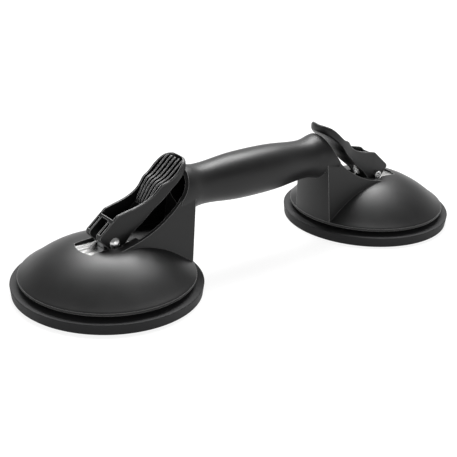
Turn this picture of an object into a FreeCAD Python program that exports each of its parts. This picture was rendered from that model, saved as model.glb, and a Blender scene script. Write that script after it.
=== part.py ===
"""Double suction-cup lifter for floor tiles: a one-piece moulding with a grip bar and two domes,
a rubber pad under each dome, and a cam lever on each dome that lifts the pad's stud.

Frame: millimetres, +Z up, X from the left cup to the right cup, origin on the floor midway
between the cups.  One end is drawn about its own cup axis, with +x pointing outward, away from
the grip.  The other end is the same set of pieces turned half a turn about Z.
The levers are drawn released, folded up against the ends of the grip.
"""
import FreeCAD
import Part
import math
import os
import Sketcher
from FreeCAD import Placement, Rotation, Vector

doc = FreeCAD.newDocument("suction_lifter")
sheet = doc.addObject("Spreadsheet::Sheet", "Sizes")

# ------------------------------------------------------------------ driving dimensions (mm, deg)
SIZES = [
    # overall layout
    ("cup_offset", 110.7),         # cup axis from the middle of the grip
    # rubber pad
    ("pad_radius", 60.0),
    ("pad_thickness", 6.8),
    ("pad_draft", 0.8),            # how much smaller the sole is than the top edge
    ("pad_boss_radius", 25.0),
    ("pad_boss_height", 3.0),
    ("sole_dish_radius", 30.0),
    ("sole_dish_depth", 0.8),
    ("sole_groove_width", 1.2),
    ("sole_groove_depth", 0.7),
    ("sole_groove_inset", 5.0),    # outer groove from the pad's edge
    ("sole_groove_pitch", 4.0),
    # dome
    ("rim_radius", 55.3),
    ("rim_gap", 3.0),              # pad top to the lip of the dome
    ("rim_lip", 2.1),
    ("dome_rise", 20.4),           # crown above the top of the lip
    ("shell_wall", 2.4),
    # channel under the lever
    ("channel_half_width", 10.0),
    ("channel_reach", 20.0),       # cup axis to the rounded outer end
    ("channel_floor_depth", 3.6),  # crown of the dome to the moulded floor
    ("floor_thickness", 2.4),
    ("plate_thickness", 1.0),
    ("plate_clearance", 0.2),
    # post
    ("post_base_width", 35.8),
    ("post_top_width", 30.2),
    ("post_base_radius", 55.1),    # inner wall, about the cup axis
    ("post_top_radius", 57.2),
    ("post_front", 2.0),
    # grip
    ("grip_height", 55.5),         # grip axis above the floor
    ("grip_middle_radius", 15.15),
    ("grip_neck_radius", 12.8),
    ("grip_neck_offset", 41.0),    # neck from the middle of the grip
    ("grip_mouth_offset", 58.0),   # mouth, at the opening over the dome, from the middle
    ("grip_mouth_radius", 15.9),
    ("grip_wall", 2.8),
    ("grip_web", 3.0),             # web left between the two cores
    ("bore_end_radius", 9.2),
    # underside of the dome
    ("press_ring_radius", 46.0),
    ("press_ring_wall", 2.4),
    ("rib_thickness", 1.8),
    ("rib_inner_radius", 23.0),
    ("rib_count", 8),
    # stud, disc and spring
    ("disc_radius", 20.0),
    ("disc_thickness", 2.0),
    ("shank_radius", 4.5),
    ("rivet_radius", 3.0),         # stud's foot, through the disc
    ("shank_height", 5.8),
    ("tongue_length", 10.0),       # along X
    ("tongue_width", 7.0),         # along Y
    ("tongue_clearance", 0.4),
    ("spring_radius", 9.0),
    ("spring_wire", 1.2),
    ("spring_turns", 3.0),
    ("seat_thickness", 1.0),
    ("seat_radius", 12.0),
    ("seat_bore_radius", 6.5),
    ("seat_fit", 0.2),
    ("seat_wall", 1.8),
    ("seat_wall_height", 3.0),
    # pivot pin
    ("pin_radius", 2.5),
    ("pin_fit", 0.05),
    ("pin_height", 4.5),           # pin axis above the wear plate
    ("pin_head_radius", 3.7),
    ("pin_head_height", 2.8),
    ("pin_head_edge", 0.5),        # straight edge of the head, below its round crest
    ("pin_tail_radius", 2.9),
    ("pin_tail_length", 2.0),
    ("pin_tail_bore", 1.5),
    ("pin_relief", 0.6),           # room round the pin's ends in the dome
    # lever
    ("heel_half_width", 8.3),
    ("heel_clearance", 0.3),       # heel above the wear plate
    ("heel_back", 6.0),            # flat of the heel, toward the grip
    ("heel_nose_radius", 4.0),
    ("knee_reach", 11.0),          # pin axis to the face between knee and nose
    ("knee_face_angle", 49.0),     # direction that this face looks, above the horizontal
    ("knee_height", 16.8),         # knee above the pin axis
    ("end_face_reach", 5.25),      # pin axis to the end face
    ("end_face_angle", 43.0),      # direction that this face looks, below the horizontal
    ("lever_reach", 53.7),         # pin axis to the lever's tip
    ("tip_clearance", 1.3),        # tip above the mouth of the grip
    ("tip_depth", 5.8),            # tip, top to underside
    ("lever_wall", 1.7),
    ("lever_web", 2.0),
    ("paddle_half_width", 13.1),
    ("slot_side_clearance", 0.3),
    ("slot_wall", 1.3),
    ("cell_depth", 7.0),
    ("rib_wall", 1.2),
    ("finger_ribs", 5),
]
for row, (alias, number) in enumerate(SIZES, start=1):
    sheet.set("A%d" % row, alias)
    sheet.set("B%d" % row, repr(number))
    sheet.setAlias("B%d" % row, alias)
doc.recompute()


class Size:
    """A length that carries its value and the sheet formula it comes from."""

    def __init__(self, value, text):
        self.value = float(value)
        self.text = text

    def join(self, other, sign, value):
        return Size(value, "(%s %s %s)" % (self.text, sign, size(other).text))

    def __add__(self, other):
        return self.join(other, "+", self.value + size(other).value)

    def __radd__(self, other):
        return size(other) + self

    def __sub__(self, other):
        return self.join(other, "-", self.value - size(other).value)

    def __rsub__(self, other):
        return size(other) - self

    def __mul__(self, other):
        return self.join(other, "*", self.value * size(other).value)

    def __rmul__(self, other):
        return size(other) * self

    def __truediv__(self, other):
        return self.join(other, "/", self.value / size(other).value)

    def __neg__(self):
        return Size(-self.value, "(0 - %s)" % self.text)

    def __float__(self):
        return self.value


def size(thing):
    """A Size as it is; a bare number as a Size of that many millimetres or a plain factor."""
    return thing if isinstance(thing, Size) else Size(thing, repr(thing))


class Sheet:
    """Reads cells of the sheet as Sizes: S.pad_radius."""

    def __getattr__(self, alias):
        return Size(sheet.get(alias), "Sizes.%s" % alias)


S = Sheet()


# ------------------------------------------------------------------ drawing helpers
def add_body(name):
    body = doc.addObject("PartDesign::Body", name)
    body.Label = name
    return body


def add_sketch(body, name, role, shift=(0, 0, 0)):
    """A sketch on one of the body's own origin planes, shifted in the sketch's own axes."""
    plane = next(item for item in body.Origin.OriginFeatures if item.Role == role)
    sketch = body.newObject("Sketcher::SketchObject", name)
    sketch.AttachmentSupport = [(plane, "")]
    sketch.MapMode = "FlatFace"
    for axis, step in zip("xyz", shift):
        sketch.setExpression("AttachmentOffset.Base." + axis, size(step).text)
    return sketch


def lock(sketch, geometry, point, place):
    """Ties one end of a line to its two coordinates."""
    for kind, axis, coordinate in (("DistanceX", -2, place[0]), ("DistanceY", -1, place[1])):
        if float(coordinate) == 0:
            sketch.addConstraint(Sketcher.Constraint("PointOnObject", geometry, point, axis))
            continue
        index = sketch.addConstraint(Sketcher.Constraint(kind, geometry, point, float(coordinate)))
        sketch.setExpression("Constraints[%d]" % index, size(coordinate).text)


def polygon(sketch, places):
    """A closed outline of straight lines, each corner held by the sheet."""
    first = sketch.GeometryCount
    corners = [Vector(float(x), float(y), 0) for x, y in places]
    count = len(places)
    for index in range(count):
        sketch.addGeometry(Part.LineSegment(corners[index], corners[(index + 1) % count]))
    for index in range(count):
        following = first + (index + 1) % count
        sketch.addConstraint(Sketcher.Constraint("Coincident", first + index, 2, following, 1))
    for index, place in enumerate(places):
        lock(sketch, first + index, 1, place)


def rectangle(sketch, low_x, high_x, half_height):
    polygon(sketch, [(low_x, -half_height), (high_x, -half_height),
                     (high_x, half_height), (low_x, half_height)])


def circle(sketch, radius):
    """A circle about the sketch's origin."""
    index = sketch.addGeometry(Part.Circle(Vector(0, 0, 0), Vector(0, 0, 1), float(radius)))
    sketch.addConstraint(Sketcher.Constraint("Coincident", index, 3, -1, 1))
    measure = sketch.addConstraint(Sketcher.Constraint("Radius", index, float(radius)))
    sketch.setExpression("Constraints[%d]" % measure, size(radius).text)


def flat_vector(place):
    return Vector(float(place[0]), float(place[1]), 0)


def line(start, end):
    return Part.LineSegment(flat_vector(start), flat_vector(end))


def arc(start, middle, end):
    return Part.Arc(flat_vector(start), flat_vector(middle), flat_vector(end))


def curve(places, **tangents):
    """A smooth curve through the given places."""
    spline = Part.BSplineCurve()
    spline.interpolate([flat_vector(place) for place in places], **tangents)
    return spline


def chain(places):
    """Straight lines from place to place."""
    return [line(start, end) for start, end in zip(places[:-1], places[1:])]


def outline(sketch, pieces):
    for piece in pieces:
        sketch.addGeometry(piece)


def extrude(body, kind, name, sketch, length):
    feature = body.newObject("PartDesign::" + kind, name)
    feature.Profile = sketch
    feature.setExpression("Length", size(length).text)
    return feature


def turn(body, kind, name, sketch, axis="V_Axis"):
    feature = body.newObject("PartDesign::" + kind, name)
    feature.Profile = sketch
    feature.ReferenceAxis = (sketch, [axis])
    feature.Angle = 360
    return feature


def loft(body, kind, name, sketches):
    feature = body.newObject("PartDesign::" + kind, name)
    feature.Profile = sketches[0]
    feature.Sections = sketches[1:]
    feature.Ruled = True
    return feature


def side_prism(name, half_width, pieces):
    """A plate of the given side outline (x, z), as wide as asked on each side of y = 0."""
    body = add_body(name)
    sketch = add_sketch(body, name + "_outline", "XZ_Plane", (0, 0, -size(half_width)))
    outline(sketch, pieces)
    extrude(body, "Pad", name + "_pad", sketch, size(half_width) * 2)
    return body


def plan_prism(name, low, high, loops):
    """A column of the given plan outlines (x, y) between two heights."""
    body = add_body(name)
    for index, pieces in enumerate(loops):
        sketch = add_sketch(body, "%s_outline_%d" % (name, index), "XY_Plane", (0, 0, low))
        outline(sketch, pieces)
        extrude(body, "Pad", "%s_pad_%d" % (name, index), sketch, size(high) - low)
    return body


def combine(kind, name, shapes):
    """Part::MultiFuse or Part::MultiCommon of several solids."""
    result = doc.addObject("Part::" + kind, name)
    result.Shapes = shapes
    result.Label = name
    return result


def cut(name, base, tool):
    result = doc.addObject("Part::Cut", name)
    result.Base = base
    result.Tool = tool
    result.Label = name
    return result


# ------------------------------------------------------------------ heights shared by the pieces
pad_top = S.pad_thickness
lip_bottom = pad_top + S.rim_gap
rim_top = lip_bottom + S.rim_lip
crown = rim_top + S.dome_rise
floor_top = crown - S.channel_floor_depth
floor_bottom = floor_top - S.floor_thickness
plate_top = floor_top + S.plate_thickness
pin_level = plate_top + S.pin_height
disc_bottom = pad_top + S.pad_boss_height
disc_top = disc_bottom + S.disc_thickness
shank_top = disc_top + S.shank_height
seat_bottom = floor_bottom - S.seat_thickness

SIDES = (("left", -1), ("right", 1))
nodes = {}


def place_at_cup(item, side, height=0.0):
    """Moves a piece from its cup's own frame to its end of the lifter."""
    turned = Rotation(Vector(0, 0, 1), 0 if side > 0 else 180)
    item.Placement = Placement(Vector(side * float(S.cup_offset), 0, float(height)), turned)
    item.setExpression("Placement.Base.x", (S.cup_offset * side).text)
    item.setExpression("Placement.Base.z", size(height).text)


def keep(name, item):
    """Registers a finished piece under its node name."""
    item.Label = name
    nodes[name] = item


# ------------------------------------------------------------------ moulding: domes, posts and grip
# Crown profile of a dome: share of the rim radius, share of the rise.
DOME_PROFILE = ((0.0, 1.0), (0.18, 0.985), (0.37, 0.915), (0.50, 0.79),
                (0.62, 0.64), (0.74, 0.455), (0.86, 0.245), (1.0, 0.0))


def post_width_at(height):
    """Half width of the post, which tapers evenly from the lip to the grip axis."""
    share = (float(height) - float(lip_bottom)) / (float(S.grip_height) - float(lip_bottom))
    return (float(S.post_base_width) * (1 - share) + float(S.post_top_width) * share) / 2


def post_radius_at(height):
    """Radius of the post's inner wall about the cup axis."""
    share = (float(height) - float(lip_bottom)) / (float(S.grip_height) - float(lip_bottom))
    return float(S.post_base_radius) * (1 - share) + float(S.post_top_radius) * share


def post_section(body, name, height, inset, front):
    """Plan of the post at one height: round inner wall, flat sides, straight front."""
    sketch = add_sketch(body, name, "XY_Plane", (0, 0, height))
    half = post_width_at(height) - float(inset)
    radius = post_radius_at(height) - float(inset)
    corner = -math.sqrt(radius ** 2 - half ** 2)
    front = float(front)
    outline(sketch, [arc((corner, -half), (-radius, 0), (corner, half))])
    outline(sketch, chain([(corner, half), (front, half), (front, -half), (corner, -half)]))
    return sketch


def draw_grip(body):
    """The bar: bulged in the middle, necked, and flared into the posts."""
    start = -float(S.cup_offset)
    neck = float(S.grip_neck_radius)
    middle = float(S.grip_middle_radius)
    mouth = float(S.grip_mouth_radius)
    reach = float(S.grip_neck_offset)
    flare = float(S.grip_mouth_offset) - reach
    end = start + float(S.grip_mouth_offset) + flare * 0.5
    crest = [(start, middle), (start + reach * 0.5, neck + (middle - neck) * 0.73),
             (start + reach, neck), (start + reach + flare * 0.5, neck + (mouth - neck) * 0.24),
             (start + reach + flare * 0.78, neck + (mouth - neck) * 0.74),
             (start + reach + flare, mouth), (end, mouth + neck * 0.05)]
    sketch = add_sketch(body, "grip_profile", "XZ_Plane", (0, S.grip_height, 0))
    outline(sketch, [curve(crest, InitialTangent=Vector(1, 0, 0), FinalTangent=Vector(1, 0.02, 0))])
    outline(sketch, chain([crest[-1], (end, 0), (start, 0), crest[0]]))
    turn(body, "Revolution", "grip", sketch, "H_Axis")


# Edge of the opening: share of the post's radius, share of the way up to the grip's top.
OPENING = ((-0.955, 1.114), (-0.881, 0.817), (-0.769, 0.570), (-0.594, 0.353), (-0.402, 0.193),
           (-0.210, 0.089), (0.07, 0.0))


def draw_opening(body):
    """The sweep that opens the post and the grip's end over the dome."""
    top = float(S.grip_height + S.grip_mouth_radius)
    low = float(crown) - 1.4
    radius = float(S.post_top_radius)
    sweep = [(share * radius, low + lift * (top - low)) for share, lift in OPENING]
    above = top + radius
    wide = S.post_base_width
    sketch = add_sketch(body, "opening_profile", "XZ_Plane", (0, 0, wide))
    outline(sketch, [curve(sweep)])
    outline(sketch, chain([sweep[-1], (radius, low), (radius, above), (sweep[0][0], above), sweep[0]]))
    extrude(body, "Pocket", "opening", sketch, wide * 2)


def draw_dome(body):
    base = float(rim_top)
    rise = float(S.dome_rise)
    rim = float(S.rim_radius)
    crest = [(share * rim, base + lift * rise) for share, lift in DOME_PROFILE]
    sketch = add_sketch(body, "dome_profile", "XZ_Plane")
    outline(sketch, [curve(crest, InitialTangent=Vector(1, 0, 0), FinalTangent=Vector(1, -0.55, 0))])
    outline(sketch, chain([(rim, base), (rim, float(lip_bottom)), (0, float(lip_bottom)), crest[0]]))
    turn(body, "Revolution", "dome", sketch)


def hollow_dome(body):
    """The underside of the dome, flat below the channel floor."""
    inner_rim = float(S.rim_radius - S.shell_wall)
    base = float(rim_top) - 1.2
    top = float(floor_bottom)
    slope = [item for item in DOME_PROFILE if item[0] >= 0.5]
    crest = [(share * inner_rim, base + (top - base) * lift / slope[0][1]) for share, lift in slope]
    sketch = add_sketch(body, "dome_hollow_profile", "XZ_Plane")
    outline(sketch, [curve(crest)])
    outline(sketch, chain([crest[-1], (inner_rim, float(lip_bottom) - 1), (0, float(lip_bottom) - 1),
                           (0, top), crest[0]]))
    turn(body, "Groove", "dome_hollow", sketch)


def hollow_post(body):
    """Hollow below the channel floor, pocket above it, and the core that opens the grip."""
    wall = S.shell_wall
    loft(body, "SubtractiveLoft", "post_underside",
         [post_section(body, "post_underside_low", lip_bottom - 1, wall, -30),
          post_section(body, "post_underside_high", floor_bottom, wall, -30)])
    loft(body, "SubtractiveLoft", "post_pocket",
         [post_section(body, "post_pocket_low", floor_top, wall, -14),
          post_section(body, "post_pocket_high", S.grip_height, wall, -14)])
    start = S.grip_web / 2 - S.cup_offset
    mouth = S.grip_mouth_offset - S.cup_offset
    neck = S.grip_neck_offset - S.cup_offset
    sketch = add_sketch(body, "grip_core_profile", "XZ_Plane", (0, S.grip_height, 0))
    polygon(sketch, [(start, 0), (start, S.bore_end_radius), (neck, S.grip_neck_radius - S.grip_wall),
                     (mouth, S.grip_mouth_radius - S.grip_wall),
                     (mouth + 8, S.grip_mouth_radius - S.grip_wall), (mouth + 8, 0)])
    turn(body, "Groove", "grip_core", sketch, "H_Axis")


def draw_channel(body):
    """The flat-bottomed channel that the wear plate lies in, and the stud's slot."""
    half = float(S.channel_half_width)
    reach = float(S.channel_reach)
    shoulder = math.sqrt(reach ** 2 - half ** 2)
    above = crown + S.pin_height
    sketch = add_sketch(body, "channel_outline", "XY_Plane", (0, 0, above))
    outline(sketch, [arc((shoulder, -half), (reach, 0), (shoulder, half))])
    outline(sketch, chain([(shoulder, half), (-16, half), (-16, -half), (shoulder, -half)]))
    extrude(body, "Pocket", "channel", sketch, above - floor_top)
    relief = add_sketch(body, "pin_relief_outline", "XZ_Plane",
                        (0, pin_level, S.heel_half_width + S.pin_head_height + S.pin_relief))
    circle(relief, S.pin_head_radius + S.pin_relief)
    extrude(body, "Pocket", "pin_relief", relief,
            (S.heel_half_width + S.pin_head_height + S.pin_relief) * 2)


def draw_underside(body):
    """Ring that presses on the pad, radial ribs and the collar round the spring seat."""
    ring = add_sketch(body, "press_ring_outline", "XY_Plane", (0, 0, pad_top))
    circle(ring, S.press_ring_radius)
    circle(ring, S.press_ring_radius - S.press_ring_wall)
    extrude(body, "Pad", "press_ring", ring, S.rim_gap + S.rim_lip + S.dome_rise * 0.225)

    collar = add_sketch(body, "collar_outline", "XY_Plane", (0, 0, floor_bottom - S.seat_wall_height))
    circle(collar, S.seat_radius + S.seat_fit + S.seat_wall)
    circle(collar, S.seat_radius + S.seat_fit)
    extrude(body, "Pad", "collar", collar, S.seat_wall_height + 0.5)

    inner = S.rib_inner_radius
    outer = S.press_ring_radius - S.press_ring_wall / 2
    rib = add_sketch(body, "rib_profile", "XZ_Plane", (0, 0, -S.rib_thickness / 2))
    polygon(rib, [(inner, floor_bottom + 1), (inner, floor_bottom - 5), (outer, rim_top),
                  (outer, rim_top + S.dome_rise * 0.25),
                  ((inner + outer) / 2, rim_top + S.dome_rise * 0.6)])
    web = extrude(body, "Pad", "rib", rib, S.rib_thickness)
    pattern = body.newObject("PartDesign::PolarPattern", "ribs")
    pattern.Originals = [web]
    upright = next(item for item in body.Origin.OriginFeatures if item.Role == "Z_Axis")
    pattern.Axis = (upright, [""])
    pattern.Angle = 360
    pattern.setExpression("Occurrences", "Sizes.rib_count")
    body.Tip = pattern


def draw_stud_slot(body):
    slot = add_sketch(body, "stud_slot_outline", "XY_Plane", (0, 0, crown + 1))
    reach = S.tongue_length / 2 + S.tongue_clearance
    rectangle(slot, -reach, reach, S.tongue_width / 2 + S.tongue_clearance)
    extrude(body, "Pocket", "stud_slot", slot, crown + 1 - seat_bottom)


def make_moulding():
    """One end of the moulding, mirrored and joined across the middle of the grip."""
    half = add_body("moulding_end")
    draw_grip(half)
    loft(half, "AdditiveLoft", "post",
         [post_section(half, "post_low", lip_bottom, 0, S.post_front),
          post_section(half, "post_high", S.grip_height, 0, S.post_front)])
    draw_opening(half)
    draw_dome(half)
    hollow_dome(half)
    hollow_post(half)
    draw_channel(half)
    draw_underside(half)
    draw_stud_slot(half)
    place_at_cup(half, 1)
    other = doc.addObject("Part::Mirroring", "moulding_other_end")
    other.Source = half
    other.Normal = (1, 0, 0)
    keep("body_moulding", combine("MultiFuse", "body_moulding", [half, other]))


# ------------------------------------------------------------------ rubber pad
def make_pad(name, side):
    body = add_body(name)
    foot = S.pad_radius - S.pad_draft
    dish = S.sole_dish_radius
    sketch = add_sketch(body, name + "_profile", "XZ_Plane")
    polygon(sketch, [(0, S.sole_dish_depth), (dish, S.sole_dish_depth), (dish + 2, 0), (foot, 0),
                     (S.pad_radius, pad_top), (S.pad_boss_radius + 2, pad_top),
                     (S.pad_boss_radius, disc_bottom), (0, disc_bottom)])
    turn(body, "Revolution", name + "_disc", sketch)
    for index in range(2):
        outer = foot - S.sole_groove_inset - S.sole_groove_pitch * index
        ring = add_sketch(body, "%s_groove_profile_%d" % (name, index), "XZ_Plane")
        polygon(ring, [(outer, 0), (outer, S.sole_groove_depth),
                       (outer - S.sole_groove_width, S.sole_groove_depth),
                       (outer - S.sole_groove_width, 0)])
        turn(body, "Groove", "%s_groove_%d" % (name, index), ring)
    place_at_cup(body, side)
    keep(name, body)


# ------------------------------------------------------------------ stud, disc, spring, seat, plate
def make_disc(name, side):
    body = add_body(name)
    sketch = add_sketch(body, name + "_outline", "XY_Plane", (0, 0, disc_bottom))
    circle(sketch, S.disc_radius)
    circle(sketch, S.rivet_radius + S.pin_fit)
    extrude(body, "Pad", name + "_blank", sketch, S.disc_thickness)
    place_at_cup(body, side)
    keep(name, body)


def make_stud(name, side):
    """Riveted foot, round shank, and a flat tongue with the pin's eye."""
    body = add_body(name)
    stub = S.rivet_radius
    shank = add_sketch(body, name + "_shank_profile", "XZ_Plane")
    polygon(shank, [(0, disc_bottom), (stub, disc_bottom), (stub, disc_top),
                    (S.shank_radius, disc_top), (S.shank_radius, shank_top), (0, shank_top)])
    turn(body, "Revolution", name + "_shank", shank)
    radius = float(S.tongue_length) / 2
    eye = float(pin_level)
    low = float(shank_top)
    tongue = add_sketch(body, name + "_tongue_outline", "XZ_Plane", (0, 0, -S.tongue_width / 2))
    outline(tongue, [arc((-radius, eye), (0, eye + radius), (radius, eye))])
    outline(tongue, chain([(radius, eye), (radius, low - 1), (-radius, low - 1), (-radius, eye)]))
    extrude(body, "Pad", name + "_tongue", tongue, S.tongue_width)
    hole = add_sketch(body, name + "_eye_outline", "XZ_Plane", (0, pin_level, S.tongue_width / 2 + 1))
    circle(hole, S.pin_radius + S.pin_fit)
    extrude(body, "Pocket", name + "_eye", hole, S.tongue_width + 2)
    place_at_cup(body, side)
    keep(name, body)


def make_spring(name, side):
    """Compression spring between the disc and its seat."""
    body = add_body(name)
    wire = S.spring_wire / 2
    height = seat_bottom - disc_top - S.spring_wire - S.seat_fit
    sketch = add_sketch(body, name + "_wire", "XZ_Plane",
                        (S.spring_radius, disc_top + wire + S.seat_fit / 2, 0))
    polygon(sketch, [(wire, 0), (wire / 2, wire * 0.87), (-wire / 2, wire * 0.87), (-wire, 0),
                     (-wire / 2, -wire * 0.87), (wire / 2, -wire * 0.87)])
    coil = body.newObject("PartDesign::AdditiveHelix", name + "_coil")
    coil.Profile = sketch
    upright = next(item for item in body.Origin.OriginFeatures if item.Role == "Z_Axis")
    coil.ReferenceAxis = (upright, [""])
    coil.Mode = "pitch-height-angle"
    coil.Angle = 0
    coil.setExpression("Height", height.text)
    coil.setExpression("Pitch", (height / S.spring_turns).text)
    place_at_cup(body, side)
    keep(name, body)


def make_seat(name, side):
    body = add_body(name)
    sketch = add_sketch(body, name + "_outline", "XY_Plane", (0, 0, seat_bottom))
    circle(sketch, S.seat_radius)
    circle(sketch, S.seat_bore_radius)
    extrude(body, "Pad", name + "_blank", sketch, S.seat_thickness)
    place_at_cup(body, side)
    keep(name, body)


def make_plate(name, side):
    """Bright plate in the channel, with the slot for the stud's tongue."""
    body = add_body(name)
    half = float(S.channel_half_width - S.plate_clearance)
    reach = float(S.channel_reach - S.plate_clearance)
    shoulder = math.sqrt(reach ** 2 - half ** 2)
    sketch = add_sketch(body, name + "_outline", "XY_Plane", (0, 0, floor_top))
    outline(sketch, [arc((shoulder, -half), (reach, 0), (shoulder, half))])
    outline(sketch, chain([(shoulder, half), (-14, half), (-14, -half), (shoulder, -half)]))
    extrude(body, "Pad", name + "_blank", sketch, S.plate_thickness)
    slot = add_sketch(body, name + "_slot_outline", "XY_Plane", (0, 0, plate_top + 1))
    along = S.tongue_length / 2 + S.tongue_clearance
    rectangle(slot, -along, along, S.tongue_width / 2 + S.tongue_clearance)
    extrude(body, "Pocket", name + "_slot", slot, S.plate_thickness + 2)
    place_at_cup(body, side)
    keep(name, body)


# ------------------------------------------------------------------ pivot pin
def make_pin(name, side):
    """Rivet through the heel: domed head on one cheek, dimpled tail on the other."""
    body = add_body(name)
    cheek = float(S.heel_half_width + S.pin_fit)
    shaft = float(S.pin_radius)
    head = float(S.pin_head_radius)
    crest = cheek + float(S.pin_head_height)
    edge = cheek + float(S.pin_head_edge)
    flare = float(S.pin_tail_radius)
    bore = float(S.pin_tail_bore)
    end = -cheek - float(S.pin_tail_length)
    rise = crest - edge
    ball = (head ** 2 + rise ** 2) / (2 * rise)
    half_turn = math.asin(head / ball) / 2
    shoulder = (ball * math.sin(half_turn), crest - ball * (1 - math.cos(half_turn)))
    sketch = add_sketch(body, name + "_profile", "XY_Plane")
    outline(sketch, [arc((head, edge), shoulder, (0, crest))])
    outline(sketch, chain([(0, crest), (0, end + bore), (bore, end + bore), (bore, end),
                           (flare, end), (flare, -cheek), (shaft, -cheek), (shaft, cheek),
                           (head, cheek), (head, edge)]))
    turn(body, "Revolution", name + "_turned", sketch)
    place_at_cup(body, side, pin_level)
    keep(name, body)


# ------------------------------------------------------------------ lever, about its pin axis
# Side outline of the lever past the knee: share of its reach toward the grip, share of its rise.
ARM_TOP = ((-0.168, 0.413), (-0.317, 0.456), (-0.447, 0.522), (-0.540, 0.608), (-0.615, 0.707))
PADDLE_TOP = ((-0.615, 0.707), (-0.670, 0.735), (-0.745, 0.794), (-0.819, 0.875), (-0.875, 0.939),
              (-0.922, 0.980), (-0.965, 1.0))
UNDERSIDE = ((-0.931, 0.839), (-0.857, 0.773), (-0.782, 0.703), (-0.708, 0.612), (-0.633, 0.506),
             (-0.503, 0.358), (-0.372, 0.211), (-0.223, 0.063), (-0.142, -0.054))
# Half width of the lever in plan: share of the reach, share of the way from heel to paddle width.
PLAN = ((-0.105, 0.0), (-0.317, 0.10), (-0.540, 0.31), (-0.670, 0.67), (-0.79, 1.0),
        (-0.894, 0.86), (-0.955, 0.36), (-1.0, -1.73))
lever_rise = S.grip_height + S.grip_mouth_radius + S.tip_clearance + S.tip_depth - pin_level


def along_lever(shares):
    """Places on the side outline, from shares of the lever's reach and rise."""
    return [(x * float(S.lever_reach), z * float(lever_rise)) for x, z in shares]


def face_frame(along, out):
    """A place given along the knee face (toward the knee) and outward from the pin."""
    angle = math.radians(float(S.knee_face_angle))
    return (out * math.cos(angle) - along * math.sin(angle),
            out * math.sin(angle) + along * math.cos(angle))


def nose_arc():
    """The rounded corner between the knee face and the end face."""
    nose = float(S.heel_nose_radius)
    upper = math.radians(float(S.knee_face_angle))
    lower = math.radians(-float(S.end_face_angle))
    reach_up = float(S.knee_reach) - nose
    reach_low = float(S.end_face_reach) - nose
    spread = math.sin(upper - lower)
    centre = ((reach_low * math.sin(upper) - reach_up * math.sin(lower)) / spread,
              (reach_up * math.cos(lower) - reach_low * math.cos(upper)) / spread)
    return [(centre[0] + nose * math.cos(angle), centre[1] + nose * math.sin(angle))
            for angle in (upper, (upper + lower) / 2, lower)]


def lever_outline():
    """Closed side outline: heel with its three faces, arm, paddle and underside."""
    upper = math.radians(float(S.knee_face_angle))
    lower = math.radians(-float(S.end_face_angle))
    knee_height = float(S.knee_height)
    knee = ((float(S.knee_reach) - knee_height * math.sin(upper)) / math.cos(upper), knee_height)
    sole = float(S.heel_clearance - S.pin_height)
    toe = ((float(S.end_face_reach) - sole * math.sin(lower)) / math.cos(lower), sole)
    back = (-float(S.heel_back), sole)
    nose = nose_arc()
    top = along_lever(PADDLE_TOP)
    reach = float(S.lever_reach)
    middle = top[-1][1] - float(S.tip_depth) / 2
    under = [(-reach + 1.3, top[-1][1] - float(S.tip_depth))] + along_lever(UNDERSIDE)
    return [line(knee, nose[0]), arc(*nose), line(nose[2], toe), line(toe, back),
            line(back, under[-1]), curve(under), arc(under[0], (-reach, middle), top[-1]),
            curve(top), curve([knee] + along_lever(ARM_TOP))]


def plan_outline(inset, end):
    """Plan of the lever, drawn in by a wall; `end` closes it on the heel side."""
    heel = float(S.heel_half_width)
    widest = float(S.paddle_half_width)
    inset = float(inset)
    reach = float(S.lever_reach)
    near = [(share * reach + (inset * 1.2 if share < -0.85 else 0), heel + (widest - heel) * wide - inset)
            for share, wide in PLAN]
    near[-1] = (inset - reach, 0.0)
    loop = near + [(x, -y) for x, y in near[-2::-1]]
    return [curve(loop), line(loop[-1], (end, loop[-1][1])), line((end, loop[-1][1]), (end, loop[0][1])),
            line((end, loop[0][1]), loop[0])]


def tip_limit(name, drop):
    """Rounds the paddle's end as seen along the lever: an arched column along x."""
    widest = float(S.paddle_half_width) + 1
    top = float(lever_rise) - float(drop)
    low = float(S.heel_clearance - S.pin_height) - 1
    depth = float(S.tip_depth)
    arch = [(-widest, top - depth * 1.1), (-widest * 0.87, top - depth * 0.5),
            (-widest * 0.66, top - depth * 0.15), (0, top), (widest * 0.66, top - depth * 0.15),
            (widest * 0.87, top - depth * 0.5), (widest, top - depth * 1.1)]
    body = add_body(name)
    sketch = add_sketch(body, name + "_outline", "YZ_Plane", (0, 0, -S.lever_reach - 1))
    outline(sketch, [curve(arch)])
    outline(sketch, chain([arch[-1], (widest, low), (-widest, low), arch[0]]))
    extrude(body, "Pad", name + "_pad", sketch, S.lever_reach + S.knee_reach * 2)
    return body


def lever_cavity():
    """The open trough between the walls, from the cross wall to the tip."""
    web = float(S.lever_web) * 1.35
    floor = [(x, z + web) for x, z in along_lever(UNDERSIDE[:-1])]
    cross = float(S.knee_reach - S.lever_wall)
    wall_foot = face_frame(cross, -3.0)
    wall_head = face_frame(cross, float(S.knee_height))
    far = -float(S.lever_reach) - 2
    above = float(lever_rise) * 1.4
    return [curve(floor), line(floor[-1], wall_foot), line(wall_foot, wall_head),
            line(wall_head, (far, above)), line((far, above), (far, floor[0][1])),
            line((far, floor[0][1]), floor[0])]


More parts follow.
